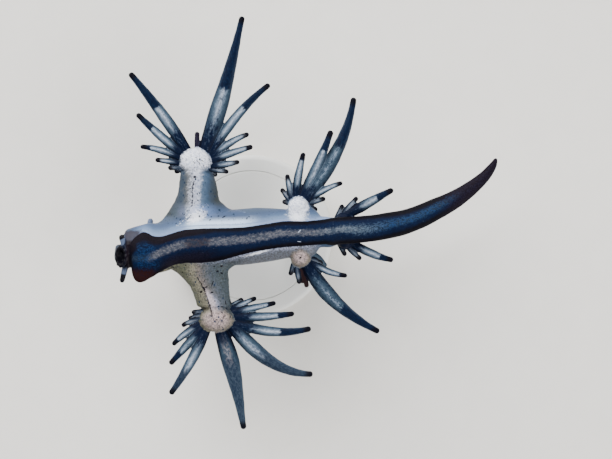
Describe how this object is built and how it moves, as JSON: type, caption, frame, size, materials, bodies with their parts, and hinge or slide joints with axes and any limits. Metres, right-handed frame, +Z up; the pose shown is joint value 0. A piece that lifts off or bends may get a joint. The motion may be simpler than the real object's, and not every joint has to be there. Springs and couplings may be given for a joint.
{
  "type": "blue dragon sea slug",
  "caption": "Still life-size pelagic sea slug floating foot side up, with fans of tapering finger-like cerata on its side limbs, held on a small round display stand.",
  "frame": {"origin": "on the ground, under the middle of the whole model's bounding box", "axes": "+Z up, the way the floating animal's foot faces; -X the way the head points; +Y towards the animal's left side"},
  "size_m": [0.0383, 0.0412, 0.0139],
  "materials": {
    "skin": "wet silvery grey skin",
    "foot": "wet dark blue foot with a silver stripe",
    "cerata": "wet deep blue cerata with silver streaks",
    "stand": "satin off-white",
    "rod": "satin steel"
  },
  "bodies": {
    "root": {"arm_front_left": "skin", "arm_front_right": "skin", "cerata_front_left": "cerata", "cerata_front_right": "cerata", "cerata_middle_left": "cerata", "cerata_middle_right": "cerata", "cerata_rear_left": "cerata", "cerata_rear_right": "cerata", "foot": "foot", "head": "skin", "oral_tentacle_left": "skin", "oral_tentacle_right": "skin", "rhinophore_left": "skin", "rhinophore_right": "skin", "stand_base": "stand", "stand_rod_front": "rod", "stand_rod_rear": "rod", "tail_front": "skin", "tail_tip": "skin", "trunk": "skin"}
  },
  "joints": []
}
